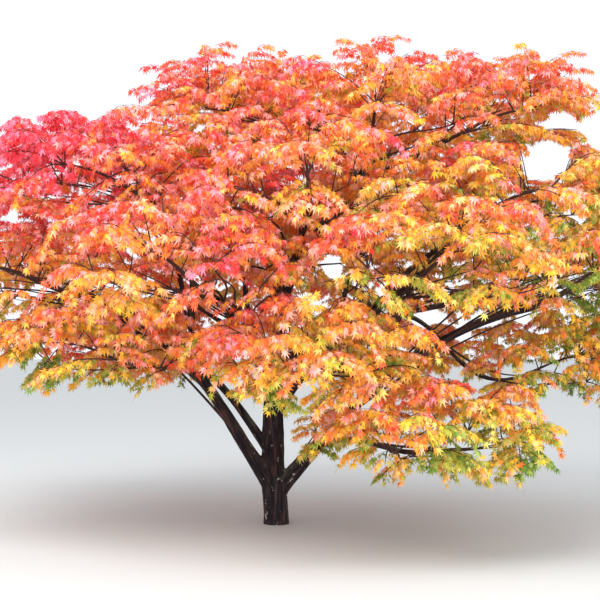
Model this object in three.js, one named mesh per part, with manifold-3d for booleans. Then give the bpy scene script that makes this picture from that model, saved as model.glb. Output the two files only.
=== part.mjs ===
// A spreading Japanese maple in its autumn leaves: one low-forking trunk, rising boughs and tiers of
// leafy pads. Millimetres, +Z up. The origin is the centre of the trunk's flat cut at ground level,
// with +X to the viewer's right and +Y away from the viewer.
import * as THREE from "three";
import { mergeVertices } from "three/addons/utils/BufferGeometryUtils.js";
import Module from "manifold-3d";

const wasm = await Module();
wasm.setup();

// The tree as a whole
const SEED = 22;
const TRUNK_TOP = 1480;
const TRUNK_SIDES = 14;
const TRUNK_STEPS = 8;
const TRUNK_BASE_RADIUS = 108;
const TRUNK_TOP_RADIUS = 66;
const TRUNK_TAPER = 1.15; // 1 is a straight cone, more keeps the foot thick for longer
const TRUNK_BEND = 30; // how far the stem leans to the left before it comes back
const RINGS_LOW = 1.5; // 1 spreads the trunk's rings evenly, more moves them down to the flare
const ROOT_FLARE = 20; // how far the roots' shoulders swell the foot
const ROOT_COUNT = 5;
const ROOT_DEPTH = 0.4; // how deep the hollows between the roots are, of the flare
const FLARE_HEIGHT = 95; // the height in which the flare dies away to a third
const SEAT_GAP = 0.3; // clear space between pieces that touch
const CARVE_GROWTH = 0.42; // how much a parent limb is grown before it cuts its child's foot

// The tiers of foliage. Each is a ring of pads round the crown's axis. A side's number is its azimuth,
// 0 to the right and 90 to the back. rise is how much higher the ring lies to the right and to the
// back, and pad is a pad's half-length outwards, half-width round the ring and half-height.
const TIERS = [
  {
    name: "middle",
    sides: {
      right_back: 22.5,
      back_right: 67.5,
      back_left: 112.5,
      left_back: 157.5,
      left_front: 202.5,
      front_left: 247.5,
      front_right: 292.5,
      right_front: 337.5,
    },
    centre: [240, 0, 2130],
    ring: [2480, 1900],
    rise: [30, 0],
    pad: [880, 880, 520],
  },
  {
    name: "shoulder",
    sides: {
      right: 13,
      back_right: 64,
      back_left: 116,
      left: 167,
      left_front: 219,
      front: 270,
      right_front: 321,
    },
    centre: [250, 0, 2850],
    ring: [2130, 1500],
    rise: [-120, 150],
    pad: [850, 900, 520],
  },
  {
    name: "top",
    sides: { left: 198, front: 270, right: 342, back_right: 54, back_left: 126 },
    centre: [780, 80, 3470],
    ring: [1200, 860],
    rise: [0, 140],
    pad: [790, 850, 490],
  },
  {
    name: "skirt",
    sides: { left_front: 212, front: 268, right: 10, back: 75, left_back: 142 },
    centre: [350, -50, 1450],
    ring: [2050, 1620],
    rise: [-70, 0],
    pad: [850, 850, 440],
  },
];
// Pads outside the rings: one that hangs low at the right, a small spray in front of the fork, and
// two that fill the crown's middle
const LONE_PADS = [
  { name: "low_right_front", azimuth: 307, centre: [1260, -1500, 900], pad: [740, 980, 460] },
  { name: "spur_front", azimuth: 270, centre: [320, -800, 850], pad: [260, 260, 320] },
  { name: "inner_front", azimuth: 258, centre: [-150, -850, 2330], pad: [620, 720, 480] },
  { name: "inner_back", azimuth: 80, centre: [300, 850, 2420], pad: [620, 720, 480] },
];
// Gaps that the viewer sees through the crown: their place and half-sizes in the plane of the trunk
const VIEWER = [198, -10000, 1600];
const GAPS = [
  { at: [2290, 3060], half: [180, 150] },
  { at: [470, 2160], half: [110, 90] },
];

// Where each bough of the middle tier leaves the trunk: its height, its aim above the level, its foot
// and tip radius, and how much lower than the others it enters its pad
const SCAFFOLD = {
  right_front: { height: 250, rise: 48, foot: 62, tip: 28, drop: 150 },
  left_front: { height: 290, rise: 54, foot: 60, tip: 28, drop: 0 },
  left_back: { height: 560, rise: 52, foot: 38, tip: 22, drop: 0 },
  back_right: { height: 900, rise: 42, foot: 44, tip: 22, drop: 0 },
  front_left: { height: 1010, rise: 40, foot: 36, tip: 20, drop: 0 },
  back_left: { height: 1130, rise: 40, foot: 38, tip: 20, drop: 0 },
  front_right: { height: 1180, rise: 36, foot: 36, tip: 20, drop: 0 },
  right_back: { height: 1290, rise: 38, foot: 38, tip: 20, drop: 0 },
};
const SCAFFOLD_ARRIVAL = 12; // how steeply a scaffold bough rises as it enters its pad
const LEADER = { pad: "top_back_right", foot: 60, tip: 26, arrive: 35 };
// How the other boughs leave their parents: share of the parent's length, aim, radii and last aim
const TOP_BOUGH = { share: 0.22, spacing: 0.15, rise: 50, foot: 34, tip: 18, arrive: 25 };
const SIDE_BOUGHS = {
  shoulder: { share: 0.42, rise: 62, foot: 27, tip: 17, arrive: 25 },
  skirt: { share: 0.5, rise: 10, foot: 22, tip: 15, arrive: -5 },
};
const LONE_BOUGHS = {
  low_right_front: { from: "middle_right_front", share: 0.2, rise: 14, foot: 36, tip: 18, arrive: -5 },
  spur_front: { from: "low_right_front", share: 0.2, rise: 15, foot: 16, tip: 12, arrive: -10 },
  inner_front: { from: "top_back_right", share: 0.1, rise: 40, foot: 26, tip: 16, arrive: 15 },
  inner_back: { from: "top_back_right", share: 0.17, rise: 40, foot: 26, tip: 16, arrive: 15 },
};
const BOUGH_SIDES = 5;
const BOUGH_STEPS = 6;
const BOUGH_TAPER = 0.8; // less than 1 makes a bough thin down sooner
const BOUGH_SLACK = 0.38; // reach of a curve's handles as a share of its span
const WANDER = 0.022; // how far a bough strays from its curve as a share of its span
const ENTRY_IN = 0.62; // a bough ends this share of the half-length short of its pad's centre
const ENTRY_DOWN = 0.42; // and this share of the half-height under it

// Twigs and leaves. One leaf stands for a spray of real ones.
const STEM_SHRINK = 0.86; // the stem's foot against its bough's tip
const STEM_TIP_RADIUS = 4;
const STEM_REACH = 0.36; // how far past the pad's centre the stem runs
const STEM_STEPS = 3;
const STEM_DROOP = 8;
const STEM_TAPER = 2;
const SHOOTS_FROM = [0.15, 0.85]; // the part of the stem that carries shoots
const SHOOTS_APART = 0.45; // how far along the stem a shoot to the pad's edge leaves, from the middle
const SHOOT_TRIES = 160;
const FEWEST_LEAVES = 3; // a shoot with fewer leaves than this is left out
const TWIG_SIDES = 3;
const TWIG_TESTS = 8; // places along a shoot that must lie in its pad's space
const SHOOT_FOOT_RADIUS = 6.5;
const SHOOT_TIP_RADIUS = 3.5;
const SHOOT_STEPS = 2;
const SHOOT_LIFT = 0.35; // how much a shoot first rises above the straight line to its tip
const SHOOT_DROOP = 50; // how steeply the shoots' tips hang
const SPREAD = [0.7548777, 0.5698403]; // steps round 1 that spread points evenly
const FIRST_SHOOT = [0.04, 0.28];
const SPREAD_NOISE = 0.12;
const SHOOT_REACH = [0.72, 0.72, 0.95]; // share of the pad's half-sizes that the shoots' tips reach
const LOWEST_AIM = -0.55; // how far below the level a shoot may aim, of 1 straight down
const LEAVES_PER_PAD = 16;
const SMALL_PAD = 400; // a pad shorter than this has fewer and smaller leaves
const LEAVES_PER_SMALL_PAD = 8;
const SMALL_LEAF = 0.42;
const LEAF_SPAN = 390; // the middle lobe
const LEAF_HEART = 85; // from the twig's axis to the leaf's thickest place
const LEAF_THICKNESS = 14;
const TIP_INSIDE = 60; // how far a twig's tip reaches into its leaf
const LEAF_DROOP = 0.16; // how far the lobes' tips hang, of their length
const LOBES = [
  { turn: 0, length: 1 },
  { turn: 52, length: 0.86 },
];
const NOTCH = 0.5; // the notches' share of the lobes beside them
const SIDE_LEAF_SHARES = [0.7, 0.36]; // where along a shoot its side leaves sit
const SIDE_LEAF_TURN = 74;
const SIDE_LEAF_TURN_NOISE = 12;
const SIDE_LEAF_SIZE = 0.86;
const SIDE_LEAF_DROOP = 40;
const SIDE_LEAF_ROLL = 24;
const PAD_EDGE = 1.06;
const SPACE_MARGIN = 0.035; // how far a leaf keeps from the border of its pad's space
const LIMB_CLEARANCE = 14;
const SHORTEST_EDGE = 0.03; // shorter edges, left where leaves and twigs cross, are drawn together

const BARK = { color: 0x2c2023, roughness: 0.92, metalness: 0 };
const LEAF_FINISH = { roughness: 0.7, metalness: 0 };
const LEAF_COLOURS = { red: 0xd8352c, orange: 0xe8702a, amber: 0xe99a35 };
const RED_FROM = { left: -900, above: 1900 }; // the pads to the left of and above this are red
const AMBER_FROM = { right: 2200, below: 1800 }; // those to the right of or below this are amber

const DEGREE = Math.PI / 180;
const UP = new THREE.Vector3(0, 0, 1);

// A small seeded generator of numbers from 0 to 1
function seeded(seed) {
  let state = seed >>> 0;
  return () => {
    state = (Math.imul(state, 1664525) + 1013904223) >>> 0;
    return state / 4294967296;
  };
}

function direction(azimuth, rise) {
  const level = Math.cos(rise * DEGREE);
  return new THREE.Vector3(
    level * Math.cos(azimuth * DEGREE),
    level * Math.sin(azimuth * DEGREE),
    Math.sin(rise * DEGREE),
  );
}

function azimuthBetween(from, to) {
  return Math.atan2(to.y - from.y, to.x - from.x) / DEGREE;
}

// The pads: where each mass of foliage is, and the space that it keeps to
function makePad(name, tier, azimuth, centre, sizes) {
  const out = direction(azimuth, 0);
  return {
    name,
    tier,
    azimuth,
    centre: new THREE.Vector3(...centre),
    sizes,
    out,
    round: new THREE.Vector3().crossVectors(UP, out),
  };
}

function padsOfTier(tier) {
  return Object.entries(tier.sides).map(([side, azimuth]) => {
    const { x, y } = direction(azimuth, 0);
    const centre = [
      tier.centre[0] + tier.ring[0] * x,
      tier.centre[1] + tier.ring[1] * y,
      tier.centre[2] + tier.rise[0] * x + tier.rise[1] * y,
    ];
    return makePad(`${tier.name}_${side}`, tier.name, azimuth, centre, tier.pad);
  });
}

const pads = [
  ...TIERS.flatMap(padsOfTier),
  ...LONE_PADS.map((p) => makePad(p.name, "lone", p.azimuth, p.centre, p.pad)),
];

// Whether the viewer would see a point in one of the crown's gaps
function inGap(point) {
  const share = -VIEWER[1] / (point.y - VIEWER[1]);
  const x = VIEWER[0] + (point.x - VIEWER[0]) * share;
  const z = VIEWER[2] + (point.z - VIEWER[2]) * share;
  return GAPS.some(({ at, half }) => Math.hypot((x - at[0]) / half[0], (z - at[1]) / half[1]) < 1);
}

// How far out of a pad's middle a point is: 1 is on its edge
function depthIn(pad, point) {
  const d = new THREE.Vector3().subVectors(point, pad.centre);
  return Math.hypot(
    d.dot(pad.out) / pad.sizes[0],
    d.dot(pad.round) / pad.sizes[1],
    d.z / pad.sizes[2],
  );
}

// A point belongs to a pad if it is inside it and nearer to its middle than to any other's
function ownsPoint(pad, point) {
  const here = depthIn(pad, point);
  if (here > PAD_EDGE || inGap(point)) return false;
  return pads.every((other) => other === pad || depthIn(other, point) > here + SPACE_MARGIN);
}

// A limb is a curve with a foot and a tip radius. It starts along aim and ends along arrive.
function makeLimb({ start, aim, end, arrive, foot, tip, taper = 1, wander = 0, phase = 0 }) {
  const span = start.distanceTo(end) * BOUGH_SLACK;
  const curve = new THREE.CubicBezierCurve3(
    start,
    start.clone().addScaledVector(aim, span),
    end.clone().addScaledVector(arrive, -span),
    end,
  );
  const side = new THREE.Vector3().crossVectors(end.clone().sub(start), UP).normalize();
  const stray = start.distanceTo(end) * wander;
  const pointAt = (t) => {
    const swing = Math.pow(Math.sin(Math.PI * t), 2) * Math.sin(3 * Math.PI * t + phase);
    return curve.getPoint(t).addScaledVector(side, stray * swing);
  };
  const tangentAt = (t) => {
    if (t === 0 || t === 1) return (t === 0 ? aim : arrive).clone();
    return pointAt(Math.min(1, t + 0.01)).sub(pointAt(Math.max(0, t - 0.01))).normalize();
  };
  const radiusAt = (t) => foot + (tip - foot) * Math.pow(t, taper);
  return { pointAt, tangentAt, radiusAt };
}

// The trunk's middle leans a little to the left and comes back
function trunkCentre(z) {
  return new THREE.Vector3(-TRUNK_BEND * Math.sin((Math.PI * z) / TRUNK_TOP), 0, z);
}

function trunkRadius(z) {
  const t = z / TRUNK_TOP;
  return TRUNK_BASE_RADIUS + (TRUNK_TOP_RADIUS - TRUNK_BASE_RADIUS) * Math.pow(t, TRUNK_TAPER);
}

function trunkGeometry(growth = 0) {
  const shape = new THREE.CylinderGeometry(1, 1, 1, TRUNK_SIDES, TRUNK_STEPS);
  const position = shape.getAttribute("position");
  for (let i = 0; i < position.count; i++) {
    const share = position.getY(i) + 0.5;
    const z = TRUNK_TOP * Math.pow(share, RINGS_LOW);
    const angle = Math.atan2(position.getZ(i), position.getX(i));
    const across = Math.hypot(position.getX(i), position.getZ(i));
    const roots = 1 - ROOT_DEPTH + ROOT_DEPTH * Math.cos(ROOT_COUNT * angle);
    const swell = ROOT_FLARE * Math.exp(-z / FLARE_HEIGHT) * roots;
    const radius = (trunkRadius(z) + swell + growth) * across;
    const centre = trunkCentre(z);
    position.setXYZ(
      i,
      centre.x + radius * Math.cos(angle),
      centre.y - radius * Math.sin(angle),
      z + (share === 1 ? growth : 0),
    );
  }
  return shape;
}

// A straight prism of the given number of sides is bent on to a limb's curve and tapered. The corner
// that lies lowest on a level limb comes first.
function tubeGeometry(limb, sides, steps, growth = 0) {
  const section = new THREE.Shape(
    Array.from({ length: sides }, (_, i) => {
      const angle = (2 * Math.PI * i) / sides + Math.PI / 2;
      return new THREE.Vector2(Math.cos(angle), Math.sin(angle));
    }),
  );
  const prism = new THREE.ExtrudeGeometry(section, { depth: 1, steps, bevelEnabled: false });
  const frames = [];
  let across = new THREE.Vector3();
  for (let i = 0; i <= steps; i++) {
    const along = limb.tangentAt(i / steps);
    if (i === 0) across.crossVectors(along, Math.abs(along.z) > 0.9 ? new THREE.Vector3(0, 1, 0) : UP);
    across = across.clone().addScaledVector(along, -across.dot(along)).normalize();
    frames.push({
      centre: limb.pointAt(i / steps),
      across,
      over: new THREE.Vector3().crossVectors(along, across),
      radius: limb.radiusAt(i / steps) + growth,
    });
  }
  const position = prism.getAttribute("position");
  for (let i = 0; i < position.count; i++) {
    const frame = frames[Math.round(position.getZ(i) * steps)];
    const point = frame.centre
      .clone()
      .addScaledVector(frame.across, position.getX(i) * frame.radius)
      .addScaledVector(frame.over, position.getY(i) * frame.radius);
    position.setXYZ(i, point.x, point.y, point.z);
  }
  return prism;
}

// A point of the straight pieces that a tube is made of
function axisPoint(limb, steps, t) {
  const step = Math.min(steps - 1, Math.floor(t * steps));
  return limb.pointAt(step / steps).lerp(limb.pointAt((step + 1) / steps), t * steps - step);
}

// The way that a tube's last straight piece points, and the place where its tip leaf starts
function lastAim(limb, steps) {
  return limb.pointAt(1).sub(limb.pointAt((steps - 1) / steps)).normalize();
}

function beforeTip(limb, steps) {
  return limb.pointAt(1).addScaledVector(lastAim(limb, steps), -TIP_INSIDE);
}

function solidOf(geometry) {
  const bare = geometry.clone();
  bare.deleteAttribute("normal");
  bare.deleteAttribute("uv");
  const merged = mergeVertices(bare, 1e-3);
  return new wasm.Manifold(
    new wasm.Mesh({
      numProp: 3,
      vertProperties: merged.getAttribute("position").array,
      triVerts: new Uint32Array(merged.index.array),
    }),
  );
}

function geometryOf(solid) {
  const { vertProperties, triVerts } = solid.getMesh();
  return new THREE.BufferGeometry()
    .setAttribute("position", new THREE.BufferAttribute(vertProperties, 3))
    .setIndex(new THREE.BufferAttribute(triVerts, 1));
}

function largestPiece(solid) {
  return solid.decompose().reduce((a, b) => (a.volume() > b.volume() ? a : b));
}

// Draws the two ends of every short edge together into one corner
function withoutShortEdges(solid) {
  const { vertProperties, triVerts } = solid.getMesh();
  const pointOf = (i) => new THREE.Vector3().fromArray(vertProperties, 3 * i);
  const kept = Array.from({ length: vertProperties.length / 3 }, (_, i) => i);
  const keptFor = (i) => (kept[i] === i ? i : keptFor(kept[i]));
  triVerts.forEach((from, i) => {
    const to = triVerts[i % 3 === 2 ? i - 2 : i + 1];
    if (pointOf(keptFor(from)).distanceTo(pointOf(keptFor(to))) < SHORTEST_EDGE)
      kept[keptFor(Math.max(from, to))] = keptFor(Math.min(from, to));
  });
  const corners = [];
  for (let i = 0; i < triVerts.length; i += 3) {
    const triangle = Array.from(triVerts.slice(i, i + 3), keptFor);
    if (new Set(triangle).size === 3) corners.push(...triangle.map(pointOf));
  }
  return solidOf(new THREE.BufferGeometry().setFromPoints(corners));
}

// Boughs: each ends just inside its pad, under the pad's middle and nearer the trunk
function boughTo(pad, start, way) {
  const end = pad.centre
    .clone()
    .addScaledVector(pad.out, -ENTRY_IN * pad.sizes[0])
    .addScaledVector(UP, -ENTRY_DOWN * pad.sizes[2] - (way.drop ?? 0));
  const azimuth = azimuthBetween(start, end);
  const limb = makeLimb({
    start,
    aim: direction(azimuth, way.rise),
    end,
    arrive: direction(pad.azimuth, way.arrive),
    foot: way.foot,
    tip: way.tip,
    taper: BOUGH_TAPER,
    wander: WANDER,
    phase: pad.azimuth,
  });
  return { ...limb, name: `bough_${pad.name}`, pad };
}

function padNamed(name) {
  return pads.find((pad) => pad.name === name);
}

function scaffoldBoughs() {
  return Object.entries(SCAFFOLD).map(([side, way]) =>
    boughTo(padNamed(`middle_${side}`), trunkCentre(way.height), { ...way, arrive: SCAFFOLD_ARRIVAL }),
  );
}

// The leader stands on the trunk's flat top and carries the top of the crown
function leaderBough() {
  const start = trunkCentre(TRUNK_TOP).addScaledVector(UP, SEAT_GAP);
  return { ...boughTo(padNamed(LEADER.pad), start, { ...LEADER, rise: 90 }), onTrunkTop: true };
}

function topBoughs(leader) {
  const others = pads.filter((pad) => pad.tier === "top" && pad !== leader.pad);
  return others.map((pad, i) =>
    boughTo(pad, leader.pointAt(TOP_BOUGH.share + TOP_BOUGH.spacing * i), TOP_BOUGH),
  );
}

// Each of a tier's boughs leaves the scaffold bough that is nearest to it by azimuth
function sideBoughs(tier, scaffold) {
  const way = SIDE_BOUGHS[tier];
  return pads
    .filter((pad) => pad.tier === tier)
    .map((pad) => {
      const apart = (limb) => Math.abs(((limb.pad.azimuth - pad.azimuth + 540) % 360) - 180);
      const parent = scaffold.reduce((a, b) => (apart(a) <= apart(b) ? a : b));
      return boughTo(pad, parent.pointAt(way.share), way);
    });
}

function allBoughs() {
  const scaffold = scaffoldBoughs();
  const leader = leaderBough();
  const boughs = [
    ...scaffold,
    leader,
    ...topBoughs(leader),
    ...sideBoughs("shoulder", scaffold),
    ...sideBoughs("skirt", scaffold),
  ];
  for (const [name, way] of Object.entries(LONE_BOUGHS)) {
    const parent = boughs.find((limb) => limb.pad.name === way.from);
    boughs.push(boughTo(padNamed(name), parent.pointAt(way.share), way));
  }
  return boughs;
}

// A leaf: a thin lobed hand that is thickest at its heart and sharp all round
function leafGeometry(size) {
  const outline = [];
  const lobe = (l, side) => [side * l.turn, l.length];
  const tips = [...LOBES.slice(1).reverse().map((l) => lobe(l, -1)), ...LOBES.map((l) => lobe(l, 1))];
  tips.forEach(([turn, length], i) => {
    if (i > 0) {
      const [lastTurn, lastLength] = tips[i - 1];
      outline.push([(turn + lastTurn) / 2, (NOTCH * (length + lastLength)) / 2]);
    }
    outline.push([turn, length]);
  });
  const points = [new THREE.Vector3()];
  for (const [turn, length] of outline) {
    const reach = length * LEAF_SPAN * size;
    points.push(
      new THREE.Vector3(
        reach * Math.sin(turn * DEGREE),
        LEAF_HEART + reach * Math.cos(turn * DEGREE),
        (-LEAF_DROOP * reach * reach) / (LEAF_SPAN * size),
      ),
    );
  }
  const top = new THREE.Vector3(0, LEAF_HEART, LEAF_THICKNESS / 2);
  const bottom = new THREE.Vector3(0, LEAF_HEART, -LEAF_THICKNESS / 2);
  const triangles = points.flatMap((point, i) => {
    const next = points[(i + 1) % points.length];
    return [top, next, point, bottom, point, next];
  });
  return new THREE.BufferGeometry().setFromPoints(triangles);
}

// Sets a leaf on a twig: it points along aim, and its upper face looks up
function placeLeaf(at, aim, size, roll) {
  const across = new THREE.Vector3().crossVectors(aim, UP).normalize();
  across.applyAxisAngle(aim, roll * DEGREE);
  const face = new THREE.Vector3().crossVectors(across, aim);
  const turn = new THREE.Matrix4().makeBasis(across, aim, face).setPosition(at);
  return leafGeometry(size).applyMatrix4(turn);
}

function leafStaysIn(geometry, pad) {
  const position = geometry.getAttribute("position");
  const point = new THREE.Vector3();
  for (let i = 0; i < position.count; i++)
    if (!ownsPoint(pad, point.fromBufferAttribute(position, i))) return false;
  return true;
}

function twigStaysIn(twig, pad) {
  const shares = Array.from({ length: TWIG_TESTS }, (_, i) => (i + 1) / TWIG_TESTS);
  return shares.every((share) => ownsPoint(pad, twig.pointAt(share)));
}

// A pad's stem goes on from its bough's tip, just clear of it, and runs out past the pad's middle
function stemOf(limb) {
  const { pad } = limb;
  const along = limb.tangentAt(1);
  return makeLimb({
    start: limb.pointAt(1).addScaledVector(along, SEAT_GAP),
    aim: along,
    end: pad.centre.clone().addScaledVector(pad.out, STEM_REACH * pad.sizes[0]),
    arrive: direction(pad.azimuth, -STEM_DROOP),
    foot: limb.radiusAt(1) * STEM_SHRINK,
    tip: STEM_TIP_RADIUS,
    taper: STEM_TAPER,
  });
}

// Where the n-th shoot of a pad reaches for: points spread evenly over the pad but for its underside
function shootTarget(pad, n, random) {
  const height = 1 - (1 - LOWEST_AIM) * ((SPREAD[0] * n + FIRST_SHOOT[0]) % 1);
  const angle = 2 * Math.PI * ((SPREAD[1] * n + FIRST_SHOOT[1] + SPREAD_NOISE * random()) % 1);
  const level = Math.sqrt(1 - height * height);
  return pad.centre
    .clone()
    .addScaledVector(pad.out, level * Math.cos(angle) * pad.sizes[0] * SHOOT_REACH[0])
    .addScaledVector(pad.round, level * Math.sin(angle) * pad.sizes[1] * SHOOT_REACH[1])
    .addScaledVector(UP, height * pad.sizes[2] * SHOOT_REACH[2]);
}

// A shoot leaves the stem abreast of its target, rises a little and hangs at its tip
function shootOf(stem, pad, target) {
  const outwards = target.clone().sub(pad.centre).dot(pad.out) / pad.sizes[0];
  const share = THREE.MathUtils.clamp(0.5 + SHOOTS_APART * outwards, ...SHOOTS_FROM);
  const start = axisPoint(stem, STEM_STEPS, share);
  const azimuth = azimuthBetween(start, target);
  const shoot = makeLimb({
    start,
    aim: target.clone().sub(start).normalize().addScaledVector(UP, SHOOT_LIFT).normalize(),
    end: target,
    arrive: direction(azimuth, -SHOOT_DROOP),
    foot: SHOOT_FOOT_RADIUS,
    tip: SHOOT_TIP_RADIUS,
  });
  return { ...shoot, azimuth };
}

// A mass: one stem, shoots that spread from it over the pad, and leaves at the shoots' tips and along
// them. What would leave the pad's space or touch a limb, a leaf or another shoot is left out.
function growMass(limb, index, limbGuards) {
  const { pad } = limb;
  const random = seeded(SEED + index);
  const small = pad.sizes[0] < SMALL_PAD;
  const most = small ? LEAVES_PER_SMALL_PAD : LEAVES_PER_PAD;
  const leafSize = small ? SMALL_LEAF : 1;
  const stem = stemOf(limb);
  const twigs = [solidOf(tubeGeometry(stem, TWIG_SIDES, STEM_STEPS))];
  const leaves = [];
  const touches = (solid, others) => others.some((other) => !other.intersect(solid).isEmpty());

  const addLeaf = (twig, at, aim, size, roll = 0) => {
    const leaf = placeLeaf(at, aim, size * leafSize, roll);
    if (leaves.length >= most || !leafStaysIn(leaf, pad)) return;
    const solid = solidOf(leaf);
    const otherTwigs = twigs.filter((other) => other !== twig);
    if (!touches(solid, [...limbGuards, ...leaves, ...otherTwigs])) leaves.push(solid);
  };

  const addTipLeaf = (twig, solid, steps) => {
    addLeaf(solid, beforeTip(twig, steps), lastAim(twig, steps), 1);
  };

  addTipLeaf(stem, twigs[0], STEM_STEPS);
  for (let n = 0; n < SHOOT_TRIES && leaves.length < most; n++) {
    const shoot = shootOf(stem, pad, shootTarget(pad, n, random));
    const solid = solidOf(tubeGeometry(shoot, TWIG_SIDES, SHOOT_STEPS));
    if (!twigStaysIn(shoot, pad) || touches(solid, [...limbGuards, ...leaves, ...twigs.slice(1)])) continue;
    const before = leaves.length;
    twigs.push(solid);
    addTipLeaf(shoot, solid, SHOOT_STEPS);
    for (const share of SIDE_LEAF_SHARES)
      for (const side of [-1, 1]) {
        const turn = side * (SIDE_LEAF_TURN + SIDE_LEAF_TURN_NOISE * random());
        const aim = direction(shoot.azimuth + turn, -SIDE_LEAF_DROOP);
        addLeaf(solid, axisPoint(shoot, SHOOT_STEPS, share), aim, SIDE_LEAF_SIZE, side * SIDE_LEAF_ROLL);
      }
    if (leaves.length - before < FEWEST_LEAVES) {
      leaves.length = before;
      twigs.pop();
    }
  }
  return withoutShortEdges(largestPiece(wasm.Manifold.union([...twigs, ...leaves])));
}

function leafColour({ centre }) {
  if (centre.x < RED_FROM.left && centre.z > RED_FROM.above) return LEAF_COLOURS.red;
  if (centre.x > AMBER_FROM.right || centre.z < AMBER_FROM.below) return LEAF_COLOURS.amber;
  return LEAF_COLOURS.orange;
}

// The tree is put together from the trunk outwards, each bough cut clear of those that are there
const tree = new THREE.Group();

function addNode(name, geometry, finish) {
  const mesh = new THREE.Mesh(geometry, new THREE.MeshStandardMaterial(finish));
  mesh.name = name;
  tree.add(mesh);
}

addNode("trunk", trunkGeometry(), BARK);
const boughs = allBoughs();
const cutters = [solidOf(trunkGeometry(CARVE_GROWTH))];
const guards = [solidOf(trunkGeometry(LIMB_CLEARANCE))];
for (const limb of boughs) {
  const tube = solidOf(tubeGeometry(limb, BOUGH_SIDES, BOUGH_STEPS));
  const inTheWay = wasm.Manifold.union(limb.onTrunkTop ? cutters.slice(1) : cutters);
  addNode(limb.name, geometryOf(largestPiece(tube.subtract(inTheWay))), BARK);
  cutters.push(solidOf(tubeGeometry(limb, BOUGH_SIDES, BOUGH_STEPS, CARVE_GROWTH)));
  guards.push(solidOf(tubeGeometry(limb, BOUGH_SIDES, BOUGH_STEPS, LIMB_CLEARANCE)));
}

boughs.forEach((limb, i) => {
  // the mass grows from its own bough, so it keeps only a hair's breadth from that one
  const limbGuards = guards.map((guard, k) => (k === i + 1 ? cutters[k] : guard));
  const mass = growMass(limb, i, limbGuards);
  const finish = { color: leafColour(limb.pad), ...LEAF_FINISH };
  addNode(`foliage_${limb.pad.name}`, geometryOf(mass), finish);
});

export default tree;
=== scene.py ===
"""A spreading Japanese maple in its autumn leaves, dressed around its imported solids.

Metres, +Z up, with the origin at the centre of the trunk's flat cut at ground level, +X to the
viewer's right and +Y away from the viewer. The limbs and pads follow the same rule as the solids.
"""
import math

import bpy
import numpy as np
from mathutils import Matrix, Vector, noise


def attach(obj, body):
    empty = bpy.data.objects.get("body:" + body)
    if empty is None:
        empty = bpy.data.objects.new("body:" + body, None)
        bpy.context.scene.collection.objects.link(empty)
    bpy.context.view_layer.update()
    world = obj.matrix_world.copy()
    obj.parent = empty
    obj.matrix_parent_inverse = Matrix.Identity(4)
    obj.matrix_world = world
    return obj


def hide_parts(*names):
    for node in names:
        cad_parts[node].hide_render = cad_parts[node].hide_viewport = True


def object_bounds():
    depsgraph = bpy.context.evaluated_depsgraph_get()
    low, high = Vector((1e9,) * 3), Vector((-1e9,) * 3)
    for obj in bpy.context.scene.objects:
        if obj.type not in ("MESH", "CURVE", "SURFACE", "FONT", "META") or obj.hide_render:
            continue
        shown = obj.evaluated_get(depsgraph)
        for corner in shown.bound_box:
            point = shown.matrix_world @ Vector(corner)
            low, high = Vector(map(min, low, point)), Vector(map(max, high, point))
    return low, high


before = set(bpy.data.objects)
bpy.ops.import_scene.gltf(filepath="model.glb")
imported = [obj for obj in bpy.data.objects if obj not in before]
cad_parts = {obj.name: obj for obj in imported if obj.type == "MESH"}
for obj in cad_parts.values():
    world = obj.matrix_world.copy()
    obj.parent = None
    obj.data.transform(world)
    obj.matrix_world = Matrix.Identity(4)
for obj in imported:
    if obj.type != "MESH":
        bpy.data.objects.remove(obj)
cad_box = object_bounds()

# The camera, as the photograph was taken
VIEWER = (0.198, -10.0, 1.6)
CAMERA_RISE = 1.54  # degrees above the level
LENS = 71.4

SEED = 22  # of all that is drawn at random, as in the solids

# The trunk
TRUNK_TOP = 1.48
TRUNK_RADII = (0.108, 0.066)  # at its foot and its top
TRUNK_TAPER = 1.15
TRUNK_BEND = 0.03
TRUNK_SIDES = 24
TRUNK_RING_HEIGHT = 0.08
UNDER_CUT = 0.06  # how far the trunk and roots run on below the ground, to be cut off there
ROOT_AZIMUTHS = (-82, -12, 52, 118, 201)
ROOT_TOP = 0.27
ROOT_RADII = (0.03, 0.03)
ROOT_REACH = 0.102
ROOT_STEEPNESS = 1.2  # how far down a root's end goes for each step outwards
ROOT_WIDENING = (0.6, 1.2)  # a root's thickness at its top and its end, of its radii
ROOT_RINGS = 9
SEAT_GAP = 0.0003  # between a limb and the one that goes on from it

# The bark
TRUNK_MESH = 0.009  # the size of the faces
BOUGH_RING = 0.028  # the distance between a bough's rings
SMOOTHINGS = 9
COLLAR = 0.42  # how much thicker a bough is where it leaves its parent
COLLAR_LENGTH = 4.5  # of the bough's radius there
CROTCH_SHARE = 0.34  # the share of a low bough that has grown together with the trunk
CROTCH_RINGS = 16
CROTCH_END, CROTCH_WIDENING = 0.82, 5  # its thickness at its end, of the bough's, and its widening
OWN_SKIN_SHARE = 0.72  # the share of that part from which the bough has a skin of its own
OWN_SKIN_START, OWN_SKIN_WIDENING = 0.8, 0.4  # that skin's thickness at its foot, and its widening
WOOD_STEPS = 90
GRAIN_SHIFT = 7.3  # how far apart two limbs lie in the bark's pattern
STEEP_LIMB = 0.93
POINTS_AT_ONCE = 4000
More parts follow.
